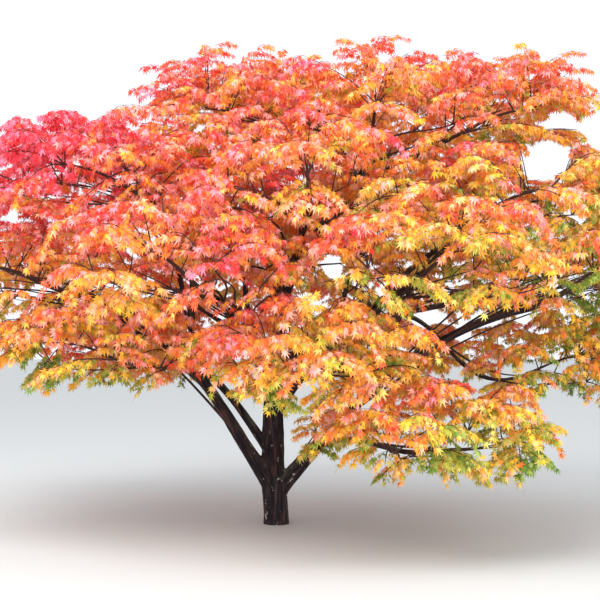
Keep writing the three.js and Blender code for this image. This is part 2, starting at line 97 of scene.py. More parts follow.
# The bark's patterns: fineness along the grain as a share of that across, that, and their shift
SWELLS = (0.35, 11.0, 0.0)
FURROWS = (0.14, 52.0, 3.1)
FLUTES = (0.08, 24.0, 8.7)
SWELL = 0.1  # how uneven a limb's thickness is, of its radius
FLUTED = 0.6  # the flutes' part in that
FURROW = 0.002  # how deep the furrows are
FURROW_SHARE = 0.03  # and no deeper than this, of the limb's radius
RIDGE = 3  # how much the ridges between them stand out
EVEN_FOOT = 0.02  # the height over which the relief comes in
FOOT_HEIGHT = 1.3  # up to where the tree's foot fades out, where lichen grows

# The tiers of foliage: rings of pads round the crown's axis. A side's number is its azimuth, 0 to
# the right and 90 to the back. rise is how much higher the ring lies to the right and to the back,
# and pad is a pad's half-length outwards, half-width round the ring and half-height.
TIERS = {
    "middle": {
        "sides": {
            "right_back": 22.5, "back_right": 67.5, "back_left": 112.5, "left_back": 157.5,
            "left_front": 202.5, "front_left": 247.5, "front_right": 292.5, "right_front": 337.5,
        },
        "centre": (0.24, 0, 2.13),
        "ring": (2.48, 1.9),
        "rise": (0.03, 0),
        "pad": (0.88, 0.88, 0.52),
    },
    "shoulder": {
        "sides": {
            "right": 13, "back_right": 64, "back_left": 116, "left": 167,
            "left_front": 219, "front": 270, "right_front": 321,
        },
        "centre": (0.25, 0, 2.85),
        "ring": (2.13, 1.5),
        "rise": (-0.12, 0.15),
        "pad": (0.85, 0.9, 0.52),
    },
    "top": {
        "sides": {
            "left": 198, "front": 270, "right": 342, "back_right": 54, "back_left": 126,
        },
        "centre": (0.78, 0.08, 3.47),
        "ring": (1.2, 0.86),
        "rise": (0, 0.14),
        "pad": (0.79, 0.85, 0.49),
    },
    "skirt": {
        "sides": {
            "left_front": 212, "front": 268, "right": 10, "back": 75, "left_back": 142,
        },
        "centre": (0.35, -0.05, 1.45),
        "ring": (2.05, 1.62),
        "rise": (-0.07, 0),
        "pad": (0.85, 0.85, 0.44),
    },
}
# Pads outside the rings: azimuth, centre and half-sizes
LONE_PADS = {
    "low_right_front": (307, (1.26, -1.5, 0.9), (0.74, 0.98, 0.46)),
    "spur_front": (270, (0.32, -0.8, 0.85), (0.26, 0.26, 0.32)),
    "inner_front": (258, (-0.15, -0.85, 2.33), (0.62, 0.72, 0.48)),
    "inner_back": (80, (0.3, 0.85, 2.42), (0.62, 0.72, 0.48)),
}
# Gaps that the viewer sees through the crown: place and half-sizes in the plane of the trunk
GAPS = [
    ((2.29, 3.06), (0.18, 0.15)),
    ((0.47, 2.16), (0.11, 0.09)),
]
CROWN_EDGE = 1.0
CROWN_BLEND = 4  # how readily neighbouring pads grow together: less fills more between them
EDGE_WISPS, WISP_FINENESS = 0.14, 2.6  # how uneven the crown's edge is
SPACE_MARGIN = 0.012  # how far a leaf keeps from the border of its pad's space
SPARE_REACH = 0.065  # how far the finest twigs reach past the solids
TOP_LIFT = 0.1  # how much higher the crown's loose tops reach than its pads do
TOP_LIFT_FROM, TOP_LIFT_RUN = 3.1, 0.6  # the height from which they do, and over which it grows
LOWEST_REACH = np.array(cad_box[0]) - SPARE_REACH
HIGHEST_REACH = np.array(cad_box[1]) + SPARE_REACH

# The boughs: the height on the trunk or the share of the parent's length where they leave it, how
# steeply they rise there and arrive at their pad, foot and tip radius, and how much lower than
# others they arrive
SCAFFOLD = {
    "right_front": (0.25, {"rise": 48, "foot": 0.062, "tip": 0.028, "drop": 0.15}),
    "left_front": (0.29, {"rise": 54, "foot": 0.06, "tip": 0.028}),
    "left_back": (0.56, {"rise": 52, "foot": 0.038, "tip": 0.022}),
    "back_right": (0.9, {"rise": 42, "foot": 0.044, "tip": 0.022}),
    "front_left": (1.01, {"rise": 40, "foot": 0.036, "tip": 0.02}),
    "back_left": (1.13, {"rise": 40, "foot": 0.038, "tip": 0.02}),
    "front_right": (1.18, {"rise": 36, "foot": 0.036, "tip": 0.02}),
    "right_back": (1.29, {"rise": 38, "foot": 0.038, "tip": 0.02}),
}
SCAFFOLD_ARRIVAL = 12
LEADER_PAD = "top_back_right"
LEADER = {"foot": 0.06, "tip": 0.026, "rise": 90, "arrive": 35}
TOP_BOUGH = {"foot": 0.034, "tip": 0.018, "rise": 50, "arrive": 25}
TOP_BOUGH_SHARE = 0.22
TOP_BOUGH_SPACING = 0.15
SIDE_BOUGHS = {
    "shoulder": (0.42, {"foot": 0.027, "tip": 0.017, "rise": 62, "arrive": 25}),
    "skirt": (0.5, {"foot": 0.022, "tip": 0.015, "rise": 10, "arrive": -5}),
}
LOW_BOUGH = {"foot": 0.036, "tip": 0.018, "rise": 14, "arrive": -5}
SPUR = {"foot": 0.016, "tip": 0.012, "rise": 15, "arrive": -10}
INNER_BOUGH = {"foot": 0.026, "tip": 0.016, "rise": 40, "arrive": 15}
LONE_BOUGHS = {
    "low_right_front": ("middle_right_front", 0.2, LOW_BOUGH),
    "spur_front": ("low_right_front", 0.2, SPUR),
    "inner_front": (LEADER_PAD, 0.1, INNER_BOUGH),
    "inner_back": (LEADER_PAD, 0.17, INNER_BOUGH),
}
BOUGH_TAPER = 0.8
BOUGH_SLACK = 0.38  # how far a limb keeps its first and last direction, of its reach
WANDER = 0.022  # how far a bough strays to the sides, of its reach
ENTRY_IN, ENTRY_DOWN = 0.62, 0.42  # how far from its pad's middle it ends, of the half-sizes
MEASURING_STEPS = 12
TANGENT_STEP = 0.01

# The stem in each pad and the shoots that leave it, as in the solids
STEM_SHRINK = 0.86
STEM_TIP_RADIUS = 0.004
STEM_REACH = 0.36
STEM_DROOP = 8
STEM_TAPER = 2
STEM_STARTS = np.linspace(0.15, 0.9, 9)  # where shoots may leave a stem
SIDE_LIMB_STARTS = np.linspace(0.6, 1, 6)  # and a side limb
SHOOT_TRIES = 200
SHOOTS_PER_PAD = 33
SHOOTS_PER_SMALL_PAD = 7
SHORTEST_SHOOT = 0.2
TOO_SHORT_COST = 1
SMALL_PAD = 0.4  # pads with a shorter half-length are small
SHOOT_RADII = (0.0058, 0.002)  # at its foot and its tip
SHOOT_LIFT = 0.35
SHOOT_DROOP = 38
TOP_SHOOTS = (2.7, 3.8)  # between these heights the shoots hang less and less
TOP_SHOOTS_RISE = 62  # how much less in the end, in degrees
SHOOT_REACH = (1.12, 1.12, 1.1)
SHOOT_EDGE = 0.86  # how far out in the crown a shoot may end
SHOOT_PULLS = np.linspace(1, 0.62, 12)[:, None]  # how far in a shoot's end is drawn until it fits
SHOOT_INSIDE = np.linspace(0.4, 1, 4)  # the points of it that have to lie in its pad's space
SHOOT_OUTER = (0.55, 0.7, 0.85, 1)  # the part of a shoot that its leaves fill
UPRIGHT_COST = 0.8
HANGING_COST = 0.5
SPREAD = (0.7548777, 0.5698403)  # the steps from one aim to the next that spread most evenly
FIRST_SHOOT = (0.04, 0.28)
SPREAD_NOISE = 0.12
LOWEST_AIM = -0.8

# The lighter limbs that leave a bough on both sides and carry its pad
SIDE_LIMBS = 4
SIDE_LIMB_SHARES = (0.5, 0.92)
LOW_SIDE_LIMBS = 10  # on the boughs that leave the trunk
LOW_SIDE_LIMB_SHARES = (0.2, 0.94)
SIDE_LIMB_GIRTH = 0.6  # of the bough's own
SIDE_LIMB_RADIUS = 0.012
SIDE_LIMB_TIP = 0.004
SIDE_LIMB_SPREAD = (0.3, 0.75)  # how far to the side they end, of the pad's half-width
SIDE_LIMB_OUT = (-0.4, 0.35)
SIDE_LIMB_DOWN = (0.1, 0.45)
SIDE_LIMB_PULL = 0.6  # how much their first direction is their own, of the bough's
SIDE_LIMB_RISE = (-5, 20)  # at their ends, in degrees
SIDE_LIMB_INSIDE = (0.85, 1)  # the points of them that have to lie in their pad's space

# The finer twigs: sprays that leave the shoots on both sides, in one flat layer, and their leaves
SPRAYS_FROM = 0.24  # the share of a shoot at which its first sprays leave
SPRAY_SPACING = 0.08
SPRAY_LENGTHS = (0.34, 0.15)  # at a shoot's first sprays and at its tip
SPRAY_TURN = (58, 36)  # from the shoot's own direction, in degrees
SPRAY_TURN_NOISE = 9
SPRAY_STAGGER = 0.02  # how far each of a pair is moved along the shoot, of its length
SPRAY_SIZES = (0.75, 1.15)
LONGEST_SPRAY = 0.62  # of its shoot
SPRAY_FLATNESS = 0.4  # how much of the shoot's own rise a side spray keeps
SPRAY_RISE = (-0.12, 0.14)  # and what is added
LAST_SPRAY = (1, 1.5)  # the length of the one that goes on, of the side sprays' at the tip
SPRAY_DROOP = 0.42
SPRAY_RADIUS = 0.0019
SPRAY_TAPER = 0.6
SPRAY_INSIDE = 0.75  # the point of a spray that has to lie in its pad's space
SPRAY_MIDDLE = 0.6  # the point whose colour it has
TIP_SPRAY_EDGE = 0.1  # how much further out than the others a shoot's last spray may reach
STEEP_TWIG = 0.9
LEAF_SPACING = 0.029
LEAF_LENGTH = 0.052
LEAF_SIZES = (0.75, 1.2)
LEAF_FORWARD, LEAF_SIDEWAYS = 0.65, 0.85
LEAF_DROOP = (0.3, 1.6)
LEAF_TURNS = 0.18
LEAF_ROLLS = 0.45
LEAF_TIP = 0.8  # the point of a blade that has to lie in its pad's space
STALK = 0.42  # of the blade's length
STALK_WIDTH = 0.02
PALM = 0.06
LOBE_WIDTH = 0.175
LOBE_TILT = 0.03
LOBE_HANG = 0.26
LOBE_HANGS = (0.4, 2.2)  # how much less or more a leaf's lobes hang
FIVE_LOBED = 0.75  # the share of the leaves that have five lobes, where the others have seven
BARE_INSIDE = 0.5  # the share of a pad, from its middle, in whose lower half few leaves grow
INSIDE_SHARE = 0.25  # of the leaves there

# The photograph's autumn colours, full and pale, from the shaded green of the low branches to the
# reddest tops
# Each pale tint is a painted highlight: the leaf's colour made lighter and pinker, as by the sky's
# sheen
TINTS_AND_HIGHLIGHTS = {
    "green": ((0.17, 0.28, 0.035), (0.33, 0.42, 0.08)),
    "lime": ((0.45, 0.43, 0.05), (0.67, 0.6, 0.13)),
    "gold": ((0.92, 0.53, 0.045), (0.98, 0.63, 0.16)),
    "amber": ((0.97, 0.38, 0.045), (0.98, 0.49, 0.26)),
    "orange": ((0.97, 0.25, 0.05), (0.98, 0.41, 0.32)),
    "flame": ((0.96, 0.15, 0.055), (0.98, 0.35, 0.34)),
    "scarlet": ((0.94, 0.085, 0.06), (0.97, 0.28, 0.34)),
    "crimson": ((0.88, 0.05, 0.075), (0.95, 0.22, 0.32)),
}
# How the colours lie over the crown: 0 is green and 1 is crimson. A FROM and a RUN say where a
# change begins and over what distance it takes place.
MIDDLING = 0.48
REDDER_LEFT = 0.36
LEFT_FROM, LEFT_RUN = -0.45, 1.5
UPPER_FROM, UPPER_RUN = 2.15, 0.7
GREENER_RIGHT = 0.04  # per metre
REDDER_TOPS = 0.05
TOPS_FROM, TOPS_RUN = 2.5, 1.1
REDDER_UP = 0.15  # from a pad's middle to its top
GREENER_INSIDE = 0.12
INSIDE_FROM, INSIDE_RUN = 0.35, 0.5
GREENER_BELOW = 0.1
BELOW_FROM, BELOW_RUN = 1.5, 1.0
PATCHES, PATCH_FINENESS = 0.26, 1.9
FINE_PATCHES, FINE_PATCH_FINENESS = 0.16, 6.3
# Patches that have stayed green or turned early: place, half-sizes and how much redder
PLACES = [
    ((0.9, -1.1, 2.5), (0.38, 1.0, 0.3), -0.16),
    ((0.45, -1.1, 1.75), (0.5, 1.0, 0.3), -0.12),
    ((2.7, -0.5, 2.15), (0.8, 1.2, 0.45), -0.12),
    ((-2.1, -0.6, 1.95), (0.7, 0.9, 0.4), -0.13),
    ((-1.3, -1.0, 1.25), (0.7, 1.0, 0.35), -0.2),
    ((-1.3, -1.0, 2.6), (0.45, 1.0, 0.6), 0.08),
    ((-0.2, -1.4, 2.1), (0.5, 1.2, 0.5), 0.28),
    ((0.1, -1.3, 1.3), (0.45, 1.0, 0.28), 0.1),
    ((0.4, -0.9, 2.95), (0.6, 1.2, 0.5), 0.2),
    ((1.9, -0.6, 3.5), (0.8, 1.3, 0.4), 0.15),
    ((1.5, -1.1, 1.85), (0.7, 1.0, 0.3), 0.06),
    ((1.1, -1.7, 1.15), (0.55, 0.6, 0.22), 0.12),
]
SPRAY_NOISE = 0.12
LEAF_NOISE = 0.085
# The share of the leaves, drawn at random, that get the pale tint's painted highlight
PAINTED_HIGHLIGHT_SHARE = 0.4

# The twigs' tubes: the number of rings and sides
STEM_MESH = (10, 8)
SIDE_LIMB_MESH = (14, 7)
SHOOT_MESH = (7, 4)
SPRAY_SHARES = np.array((0.0, 0.5, 1.0))
SPRAY_SIDES = 3
OLD_WOOD, YOUNG_WOOD = 0, 1  # their materials

# The main light and the one that fills the shade: place, what it faces, size and power
LIGHTS = [
    ((-3.5, -6, 9), (0.3, 0, 2), 7, 950),
    ((4.5, -9, 2.4), (0.6, 0, 1.9), 5, 440),
]
SKY = (0.86, 0.9, 0.96)
SKY_STRENGTH = 1.2

UP = np.array((0.0, 0.0, 1.0))
LEVEL = np.array((1.0, 0.0, 0.0))


def unit(vectors):
    return vectors / np.linalg.norm(vectors, axis=-1, keepdims=True)


def eased(values):
    """0 up to 0, 1 from 1 on, and a soft rise between."""
    values = np.clip(values, 0, 1)
    return values * values * (3 - 2 * values)


def between(ends, share):
    return ends[0] + (ends[1] - ends[0]) * share


def direction(azimuth, rise):
    level = math.cos(math.radians(rise))
    turn = math.radians(azimuth)
    return np.array((level * math.cos(turn), level * math.sin(turn), math.sin(math.radians(rise))))


def azimuth_between(start, end):
    return math.degrees(math.atan2(end[1] - start[1], end[0] - start[0]))


class Pad:
    """Where a mass of foliage is, and the space that it keeps to."""

    def __init__(self, name, tier, azimuth, centre, sizes):
        self.name = name
        self.tier = tier
        self.azimuth = azimuth
        self.centre = np.array(centre, float)
        self.sizes = np.array(sizes, float)
        self.out = direction(azimuth, 0)
        self.round = np.cross(UP, self.out)
        self.small = self.sizes[0] < SMALL_PAD

    def inside(self, points):
        """The points in the pad's own axes, as shares of its half-sizes."""
        away = points - self.centre
        return np.stack((away @ self.out, away @ self.round, away[:, 2]), axis=1) / self.sizes

    def depth(self, points):
        """How far out of the pad's middle the points are: 1 is on its edge."""
        return np.linalg.norm(self.inside(points), axis=1)


def pads_of_tier(name, tier):
    made = []
    for side, azimuth in tier["sides"].items():
        x, y, _ = direction(azimuth, 0)
        centre = (
            tier["centre"][0] + tier["ring"][0] * x,
            tier["centre"][1] + tier["ring"][1] * y,
            tier["centre"][2] + tier["rise"][0] * x + tier["rise"][1] * y,
        )
        made.append(Pad(f"{name}_{side}", name, azimuth, centre, tier["pad"]))
    return made


def all_pads():
    made = [pad for name, tier in TIERS.items() for pad in pads_of_tier(name, tier)]
    for name, (azimuth, centre, sizes) in LONE_PADS.items():
        made.append(Pad(name, "lone", azimuth, centre, sizes))
    return {pad.name: pad for pad in made}


PADS = all_pads()


def pads_in(tier):
    return [pad for pad in PADS.values() if pad.tier == tier]


def turn_between(pad, other):
    return abs((pad.azimuth - other.azimuth + 540) % 360 - 180)


def in_gap(points):
    """Whether the viewer would see the points in one of the crown's gaps."""
    share = (-VIEWER[1] / (points[:, 1] - VIEWER[1]))[:, None]
    seen = (points - VIEWER) * share + VIEWER
    found = np.zeros(len(points), bool)
    for (x, z), (half_x, half_z) in GAPS:
        found |= np.hypot((seen[:, 0] - x) / half_x, (seen[:, 2] - z) / half_z) < 1
    return found


def noise_at(points, fineness, shift=0.0):
    shift = Vector((shift, 0, 0))
    return np.array([noise.noise(Vector(point) * fineness + shift) for point in points])


def crown_depth(points):
    """How far out of the crown's middle the points are, where neighbouring pads grow together."""
    depths = np.array([pad.depth(points) for pad in PADS.values()])
    return -np.log(np.exp(-CROWN_BLEND * depths).sum(axis=0)) / CROWN_BLEND


def owns(pad, points, edge=CROWN_EDGE):
    """Whether the points are in the crown and nearer to the pad's middle than to any other's."""
    here = pad.depth(points)
    mine = ~in_gap(points)
    for other in PADS.values():
        if other is not pad:
            mine &= other.depth(points) > here + SPACE_MARGIN
    found = np.flatnonzero(mine)
    near = points[found]
    limits = np.broadcast_to(edge, len(points))[found]
    lift = TOP_LIFT * eased((near[:, 2:] - TOP_LIFT_FROM) / TOP_LIFT_RUN)
    wisps = EDGE_WISPS * noise_at(near, WISP_FINENESS)
    mine[found] = crown_depth(near - UP * lift) + wisps < limits
    return mine & (points > LOWEST_REACH).all(axis=1) & (points < HIGHEST_REACH).all(axis=1)


class Limb:
    """A tapering limb that starts along aim and ends along arrive."""

    def __init__(self, start, aim, end, arrive, foot, tip, taper=1.0, wander=0.0, phase=0.0):
        reach = np.linalg.norm(end - start)
        span = reach * BOUGH_SLACK
        self.corners = np.array((start, start + aim * span, end - arrive * span, end))
        self.ends, self.taper = (foot, tip), taper
        self.side = unit(np.cross(end - start, UP)) if wander else np.zeros(3)
        self.stray = reach * wander
        self.phase = phase

    def points(self, shares):
        t = np.asarray(shares, float).reshape(-1, 1)
        a, b, c, d = self.corners
        line = a * (1 - t) ** 3 + 3 * b * t * (1 - t) ** 2 + 3 * c * t * t * (1 - t) + d * t**3
        swing = np.sin(math.pi * t) ** 2 * np.sin(3 * math.pi * t + self.phase)
        return line + self.side * self.stray * swing

    def point(self, share):
        return self.points([share])[0]

    def tangents(self, shares):
        t = np.asarray(shares, float)
        after = self.points(np.minimum(1, t + TANGENT_STEP))
        return unit(after - self.points(np.maximum(0, t - TANGENT_STEP)))

    def radii(self, shares):
        return between(self.ends, np.asarray(shares, float) ** self.taper)

    def length(self):
        points = self.points(np.linspace(0, 1, MEASURING_STEPS))
        return np.linalg.norm(np.diff(points, axis=0), axis=1).sum()


def trunk_centre(z):
    return np.array((-TRUNK_BEND * math.sin(math.pi * z / TRUNK_TOP), 0, z))


def trunk_radius(z):
    return between(TRUNK_RADII, (z / TRUNK_TOP) ** TRUNK_TAPER)


def bough_to(pad, start, foot, tip, rise, arrive, drop=0.0):
    """A bough ends just inside its pad, under the pad's middle and nearer the trunk."""
    down = UP * (ENTRY_DOWN * pad.sizes[2] + drop)
    end = pad.centre - pad.out * ENTRY_IN * pad.sizes[0] - down
    aim = direction(azimuth_between(start, end), rise)
    arrival = direction(pad.azimuth, arrive)
    return Limb(start, aim, end, arrival, foot, tip, BOUGH_TAPER, WANDER, pad.azimuth)


def grow_boughs():
    """Every bough by the name of its pad, from the trunk outwards."""
    boughs = {}
    for side, (height, way) in SCAFFOLD.items():
        pad = PADS[f"middle_{side}"]
        start = trunk_centre(height)
        boughs[pad.name] = bough_to(pad, start, arrive=SCAFFOLD_ARRIVAL, **way)
    scaffold = dict(boughs)
    leader = bough_to(PADS[LEADER_PAD], trunk_centre(TRUNK_TOP) + UP * SEAT_GAP, **LEADER)
    boughs[LEADER_PAD] = leader
    others = [pad for pad in pads_in("top") if pad.name != LEADER_PAD]
    for i, pad in enumerate(others):
        start = leader.point(TOP_BOUGH_SHARE + TOP_BOUGH_SPACING * i)
        boughs[pad.name] = bough_to(pad, start, **TOP_BOUGH)
    for tier, (share, way) in SIDE_BOUGHS.items():
        for pad in pads_in(tier):
            parent = min(scaffold, key=lambda name: turn_between(PADS[name], pad))
            boughs[pad.name] = bough_to(pad, scaffold[parent].point(share), **way)
    for name, (parent, share, way) in LONE_BOUGHS.items():
        boughs[name] = bough_to(PADS[name], boughs[parent].point(share), **way)
    return boughs


def stem_of(pad, bough):
    """A pad's stem goes on from its bough's tip and runs out past the pad's middle."""
    along = bough.tangents([1])[0]
    start = bough.point(1) + along * SEAT_GAP
    end = pad.centre + pad.out * STEM_REACH * pad.sizes[0]
    arrive = direction(pad.azimuth, -STEM_DROOP)
    foot = bough.ends[1] * STEM_SHRINK
    return Limb(start, along, end, arrive, foot, STEM_TIP_RADIUS, STEM_TAPER)


def shoot_target(pad, n, draw):
    """Where a pad's n-th shoot reaches for: points spread evenly over all but its underside."""
    height = 1 - (1 - LOWEST_AIM) * ((SPREAD[0] * n + FIRST_SHOOT[0]) % 1)
    turn = (SPREAD[1] * n + FIRST_SHOOT[1] + SPREAD_NOISE * draw.random()) % 1
    angle = 2 * math.pi * turn
    level = math.sqrt(1 - height * height)
    reach = pad.sizes * SHOOT_REACH
    return (
        pad.centre
        + pad.out * level * math.cos(angle) * reach[0]
        + pad.round * level * math.sin(angle) * reach[1]
        + UP * height * reach[2]
    )


def side_limbs_of(pad, bough, draw):
    """Lighter limbs that leave a bough on alternate sides and run into its pad from below."""
    limbs = []
    count, spread = SIDE_LIMBS, SIDE_LIMB_SHARES
    if pad.tier == "middle":
        count, spread = LOW_SIDE_LIMBS, LOW_SIDE_LIMB_SHARES
    for i, share in enumerate(np.linspace(*spread, count)):
        side = 1 if i % 2 else -1
        start = bough.point(share)
        end = (
            pad.centre
            + pad.out * pad.sizes[0] * draw.uniform(*SIDE_LIMB_OUT)
            + pad.round * pad.sizes[1] * side * draw.uniform(*SIDE_LIMB_SPREAD)
            - UP * pad.sizes[2] * draw.uniform(*SIDE_LIMB_DOWN)
        )
        along = bough.tangents([share])[0]
        aim = unit(along + unit(end - start) * SIDE_LIMB_PULL)
        arrive = direction(azimuth_between(start, end), draw.uniform(*SIDE_LIMB_RISE))
        foot = min(SIDE_LIMB_RADIUS, SIDE_LIMB_GIRTH * bough.radii(share))
        limb = Limb(start, aim, end, arrive, foot, SIDE_LIMB_TIP, 1, WANDER, i + pad.azimuth)
        if owns(pad, limb.points(SIDE_LIMB_INSIDE)).all():
            limbs.append(limb)
    return limbs


def shoot_to(target, starts):
    """A shoot leaves the limb that is near and from which it needn't hang down or stand upright.

    It rises a little first. Low in the crown its tip hangs, and at the top it rises.
    """
    reach = np.linalg.norm(starts - target, axis=1)
    upright = (target[2] - starts[:, 2]) / reach
    hanging = np.maximum(0, -upright * reach)
    cost = reach * (1 + UPRIGHT_COST * upright**2) + hanging * HANGING_COST
    cost += np.where(reach < SHORTEST_SHOOT, TOO_SHORT_COST, 0)
    start = starts[cost.argmin()]
    aim = unit(unit(target - start) + UP * SHOOT_LIFT)
    low, high = TOP_SHOOTS
    droop = SHOOT_DROOP - TOP_SHOOTS_RISE * eased((target[2] - low) / (high - low))
    arrive = direction(azimuth_between(start, target), -droop)
    return Limb(start, aim, target, arrive, *SHOOT_RADII)


def shoots_of(pad, starts, draw):
    """Shoots that reach out to the crown's edge, each where the others have left the most room."""
    tried = []
    for n in range(SHOOT_TRIES):
        furthest = shoot_target(pad, n, draw)
        reaches = pad.centre + (furthest - pad.centre) * SHOOT_PULLS
        fit = np.flatnonzero(owns(pad, reaches, SHOOT_EDGE))
        if not len(fit):
            continue
        shoot = shoot_to(reaches[fit[0]], starts)
        if owns(pad, shoot.points(SHOOT_INSIDE), SHOOT_EDGE).all():
            tried.append(shoot)
    outer = np.array([shoot.points(SHOOT_OUTER) for shoot in tried])
    room = np.full(len(tried), np.inf)
    grown = []
    most = SHOOTS_PER_SMALL_PAD if pad.small else SHOOTS_PER_PAD
    while len(grown) < min(most, len(tried)):
        roomiest = room.argmax()
        grown.append(tried[roomiest])
        away = np.linalg.norm(outer[:, -1:] - outer[roomiest], axis=2).min(axis=1)
        room = np.minimum(room, away)
    return grown


def turned(vectors, degrees):
    """Vectors turned about the upright axis."""
    turn = math.radians(degrees)
    x = vectors[..., 0] * math.cos(turn) - vectors[..., 1] * math.sin(turn)
    y = vectors[..., 0] * math.sin(turn) + vectors[..., 1] * math.cos(turn)
    return np.stack((x, y, vectors[..., 2]), axis=-1)


class Spray:
    """A fine twig that hangs more and more towards its tip."""

    def __init__(self, start, aim, length, spare=0):
        self.start, self.aim, self.length = start, aim, length
        self.edge = CROWN_EDGE + spare

    def points(self, shares):
        t = np.asarray(shares, float).reshape(-1, 1)
        return self.start + self.aim * self.length * t - UP * SPRAY_DROOP * self.length * t * t

    def directions(self, shares):
        t = np.asarray(shares, float).reshape(-1, 1)
        return unit(self.aim - UP * 2 * SPRAY_DROOP * t)


def sprays_of(shoot, draw):
    """A shoot's sprays: opposite pairs that get shorter towards its tip, and one that goes on."""
    run = shoot.length()
    pairs = max(2, round(run * (1 - SPRAYS_FROM) / SPRAY_SPACING))
    sprays = []
    for share in np.linspace(SPRAYS_FROM, 1, pairs, endpoint=False):
        along = (share - SPRAYS_FROM) / (1 - SPRAYS_FROM)
        for side in (-1, 1):
            at = min(1, share + SPRAY_STAGGER * side + SPRAY_STAGGER * draw.random())
            turn = between(SPRAY_TURN, along) + draw.uniform(-SPRAY_TURN_NOISE, SPRAY_TURN_NOISE)
            length = between(SPRAY_LENGTHS, along) * draw.uniform(*SPRAY_SIZES)
            aim = turned(shoot.tangents([at])[0], side * turn)
            aim[2] = aim[2] * SPRAY_FLATNESS + draw.uniform(*SPRAY_RISE)
            sprays.append(Spray(shoot.point(at), unit(aim), min(length, LONGEST_SPRAY * run)))
    last = SPRAY_LENGTHS[1] * draw.uniform(*LAST_SPRAY)
    sprays.append(Spray(shoot.point(1), shoot.tangents([1])[0], last, TIP_SPRAY_EDGE))
    return sprays


def frames_along(paths):
    """Two unit vectors square to each path at every point. All paths have as many points."""
    along = unit(np.gradient(paths, axis=1))
    whole = paths[:, -1] - paths[:, 0]
    steep = np.abs(unit(whole)[:, 2]) > STEEP_TWIG
    upright = np.where(steep[:, None], LEVEL, UP)[:, None, :]
    across = unit(np.cross(along, np.broadcast_to(upright, along.shape)))
    return across, np.cross(along, across)


def twig_tubes(paths, radii, sides):
    """Closed tubes along the paths, pointed at their ends. All paths have as many points."""
    across, over = frames_along(paths)
    count, rings = paths.shape[0], paths.shape[1] - 1
    turn = 2 * math.pi * np.arange(sides)[:, None] / sides
    ring = across[:, :-1, None] * np.cos(turn) + over[:, :-1, None] * np.sin(turn)
    ring = paths[:, :-1, None] + ring * radii[:, :-1, None, None]
    corners = np.concatenate((ring.reshape(count, -1, 3), paths[:, -1:]), axis=1).reshape(-1, 3)
    numbers = np.arange(len(corners)).reshape(count, -1)
    grid = numbers[:, :-1].reshape(count, rings, sides)
    after = np.roll(grid, -1, axis=2)
    sleeves = np.stack((grid[:, :-1], after[:, :-1], after[:, 1:], grid[:, 1:]), axis=-1)
    tips = np.broadcast_to(numbers[:, -1:], (count, sides))
    points = np.stack((grid[:, -1], after[:, -1], tips), axis=-1)
    faces = sleeves.reshape(-1, 4).tolist() + points.reshape(-1, 3).tolist()
    return corners, faces + grid[:, 0, ::-1].tolist()


def limb_tubes(limbs, rings, sides):
    shares = np.linspace(0, 1, rings)
    paths = np.array([limb.points(shares) for limb in limbs])
    return twig_tubes(paths, np.array([limb.radii(shares) for limb in limbs]), sides)


class Parts:
    """Meshes that are gathered into one piece."""

    def __init__(self):
        self.corners, self.faces, self.finishes, self.count = [], [], [], 0

    def add(self, corners, faces, finish):
        self.corners.append(corners)
        self.faces += [[corner + self.count for corner in face] for face in faces]
        self.finishes.append(np.broadcast_to(finish, len(faces)))
        self.count += len(corners)

    def piece(self, name, materials):
        mesh = bpy.data.meshes.new(name)
        mesh.from_pydata(np.concatenate(self.corners), [], self.faces)
        finishes = np.concatenate(self.finishes).astype(np.int32)
        used = np.unique(finishes)
        for index in used:
            mesh.materials.append(materials[index])
        numbers = np.searchsorted(used, finishes).astype(np.int32)
        mesh.polygons.foreach_set("material_index", numbers)
        mesh.update()
        piece = bpy.data.objects.new(name, mesh)
        bpy.context.scene.collection.objects.link(piece)
        return piece


def leaf_shape(turns, lengths):
    """A hand of pointed lobes on a stalk: corners and triangles.

    The stalk's foot is at the origin, the leaf points along Y and its upper side looks up Z. turns
    and lengths are the lobes', from the middle one to the side. Each lobe is one long triangle from
    the palm to its tip, tilted a little to its side, and all tips hang.
    """
    corners = [(0, 0, 0), (-STALK_WIDTH, STALK, 0), (STALK_WIDTH, STALK, 0)]
    lobes = list(zip(turns, lengths))
    lobes += [(-turn, length) for turn, length in lobes[1:]]
    for turn, length in lobes:
        turn = math.radians(turn)
        along = np.array((math.sin(turn), math.cos(turn), 0))
        across = np.array((math.cos(turn), -math.sin(turn), 0))
        palm = np.array((0, STALK, 0)) + along * PALM
        tilt = UP * LOBE_TILT * (-1 if turn < 0 else 1)
        corners.append(palm - across * LOBE_WIDTH * length + tilt)
        corners.append(palm + across * LOBE_WIDTH * length - tilt)
        corners.append(palm + along * (length - PALM) - UP * LOBE_HANG * length)
    triangles = np.arange(len(corners)).reshape(-1, 3)[:, ::-1]
    return np.array(corners, float), triangles


FIVE_LOBES = leaf_shape([0, 41, 84], [1.0, 0.88, 0.58])
SEVEN_LOBES = leaf_shape([0, 33, 66, 103], [1.0, 0.93, 0.74, 0.44])


def place_leaves(shape, at, aim, face, sizes, droops):
    """Copies of a leaf with their stalk's ends at the given points."""
    corners, triangles = shape
    across = np.cross(aim, face)
    x, y, z = corners.T
    local = (
        x[None, :, None] * across[:, None]
        + y[None, :, None] * aim[:, None]
        + (z[None, :] * droops[:, None])[..., None] * face[:, None]
    )
    placed = at[:, None] + local * sizes[:, None, None]
    first = np.arange(len(at))[:, None, None] * len(corners)
    return placed.reshape(-1, 3), (first + triangles[None]).reshape(-1, 3)


